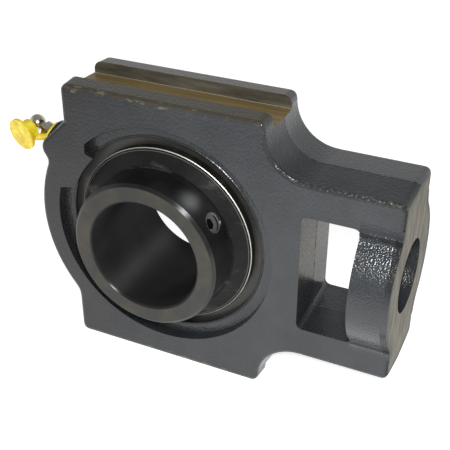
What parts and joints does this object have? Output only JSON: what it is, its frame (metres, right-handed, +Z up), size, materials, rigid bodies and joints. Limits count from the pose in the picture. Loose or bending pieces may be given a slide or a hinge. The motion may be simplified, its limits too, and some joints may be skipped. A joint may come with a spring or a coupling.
{
  "type": "take-up bearing unit",
  "caption": "Cast take-up housing with grooved guide rails, a nut window and bolt boss, holding a self-aligning ball bearing insert for a shaft, with set screws and a grease fitting.",
  "frame": {"origin": "the bearing centre, on the shaft axis at the middle of the casting's thickness", "axes": "+X towards the adjusting bolt's end face, -Y towards the set-screw side of the bearing, +Z up across the guide rails"},
  "size_m": [0.2112, 0.0745, 0.146],
  "materials": {
    "cast_paint": "semi-gloss enamel on a sand casting",
    "black_steel": "black oxide, ground and polished",
    "bright_steel": "polished",
    "cage_steel": "pressed sheet",
    "seal_rubber": "moulded",
    "flinger_steel": "pressed sheet with a bright rim",
    "plated_steel": "zinc plated",
    "yellow_plastic": "moulded, slightly translucent"
  },
  "bodies": {
    "housing": {"housing": "cast_paint", "nipple_body": "plated_steel", "nipple_plug": "plated_steel", "nipple_spring": "bright_steel"},
    "insert": {"outer_ring": "black_steel", "seal_plate_front": "bright_steel", "seal_plate_rear": "bright_steel", "seal_lip_front": "seal_rubber", "seal_lip_rear": "seal_rubber"},
    "rotor": {"inner_ring": "black_steel", "flinger_front": "flinger_steel", "flinger_rear": "flinger_steel", "set_screw_1": "black_steel", "set_screw_2": "black_steel"},
    "cage": {"cage_front": "cage_steel", "cage_rear": "cage_steel", "cage_rivets": "bright_steel"},
    "ball_1": {"ball_1": "bright_steel"},
    "ball_2": {"ball_2": "bright_steel"},
    "ball_3": {"ball_3": "bright_steel"},
    "ball_4": {"ball_4": "bright_steel"},
    "ball_5": {"ball_5": "bright_steel"},
    "ball_6": {"ball_6": "bright_steel"},
    "ball_7": {"ball_7": "bright_steel"},
    "ball_8": {"ball_8": "bright_steel"},
    "ball_9": {"ball_9": "bright_steel"},
    "ball_10": {"ball_10": "bright_steel"},
    "check_ball": {"nipple_ball": "bright_steel"},
    "dust_cap": {"nipple_cap": "yellow_plastic"}
  },
  "joints": [
    {"name": "insert_tilt", "type": "hinge", "parent": "housing", "child": "insert", "pos_m": [0, 0, 0], "axis": [0, 0, 1], "range_deg": [-2, 2]},
    {"name": "shaft_spin", "type": "hinge", "parent": "insert", "child": "rotor", "pos_m": [0, 0, 0], "axis": [0, 1, 0], "continuous": true},
    {"name": "cage_spin", "type": "hinge", "parent": "insert", "child": "cage", "pos_m": [0, 0, 0], "axis": [0, 1, 0], "continuous": true},
    {"name": "ball_1_spin", "type": "hinge", "parent": "cage", "child": "ball_1", "pos_m": [0.04042, 0, 0.01313], "axis": [0, 1, 0], "continuous": true},
    {"name": "ball_2_spin", "type": "hinge", "parent": "cage", "child": "ball_2", "pos_m": [0.02498, 0, 0.03438], "axis": [0, 1, 0], "continuous": true},
    {"name": "ball_3_spin", "type": "hinge", "parent": "cage", "child": "ball_3", "pos_m": [0, 0, 0.0425], "axis": [0, 1, 0], "continuous": true},
    {"name": "ball_4_spin", "type": "hinge", "parent": "cage", "child": "ball_4", "pos_m": [-0.02498, 0, 0.03438], "axis": [0, 1, 0], "continuous": true},
    {"name": "ball_5_spin", "type": "hinge", "parent": "cage", "child": "ball_5", "pos_m": [-0.04042, 0, 0.01313], "axis": [0, 1, 0], "continuous": true},
    {"name": "ball_6_spin", "type": "hinge", "parent": "cage", "child": "ball_6", "pos_m": [-0.04042, 0, -0.01313], "axis": [0, 1, 0], "continuous": true},
    {"name": "ball_7_spin", "type": "hinge", "parent": "cage", "child": "ball_7", "pos_m": [-0.02498, 0, -0.03438], "axis": [0, 1, 0], "continuous": true},
    {"name": "ball_8_spin", "type": "hinge", "parent": "cage", "child": "ball_8", "pos_m": [0, 0, -0.0425], "axis": [0, 1, 0], "continuous": true},
    {"name": "ball_9_spin", "type": "hinge", "parent": "cage", "child": "ball_9", "pos_m": [0.02498, 0, -0.03438], "axis": [0, 1, 0], "continuous": true},
    {"name": "ball_10_spin", "type": "hinge", "parent": "cage", "child": "ball_10", "pos_m": [0.04042, 0, -0.01313], "axis": [0, 1, 0], "continuous": true},
    {"name": "check_ball_slide", "type": "slide", "parent": "housing", "child": "check_ball", "axis": [0.91, 0, -0.4147], "range_m": [0, 0.001], "stiffness_N_per_m": 500, "springref_m": -0.002, "deforming": ["nipple_spring"]},
    {"name": "cap_swivel", "type": "hinge", "parent": "housing", "child": "dust_cap", "pos_m": [-0.07371, 0, 0.03359], "axis": [-0.91, 0, 0.4147], "continuous": true}
  ],
  "couplings": [
    {"joint": "cage_spin", "follows": "shaft_spin", "ratio": 0.40662},
    {"joint": "ball_1_spin", "follows": "shaft_spin", "ratio": -2.5838},
    {"joint": "ball_2_spin", "follows": "shaft_spin", "ratio": -2.5838},
    {"joint": "ball_3_spin", "follows": "shaft_spin", "ratio": -2.5838},
    {"joint": "ball_4_spin", "follows": "shaft_spin", "ratio": -2.5838},
    {"joint": "ball_5_spin", "follows": "shaft_spin", "ratio": -2.5838},
    {"joint": "ball_6_spin", "follows": "shaft_spin", "ratio": -2.5838},
    {"joint": "ball_7_spin", "follows": "shaft_spin", "ratio": -2.5838},
    {"joint": "ball_8_spin", "follows": "shaft_spin", "ratio": -2.5838},
    {"joint": "ball_9_spin", "follows": "shaft_spin", "ratio": -2.5838},
    {"joint": "ball_10_spin", "follows": "shaft_spin", "ratio": -2.5838}
  ]
}
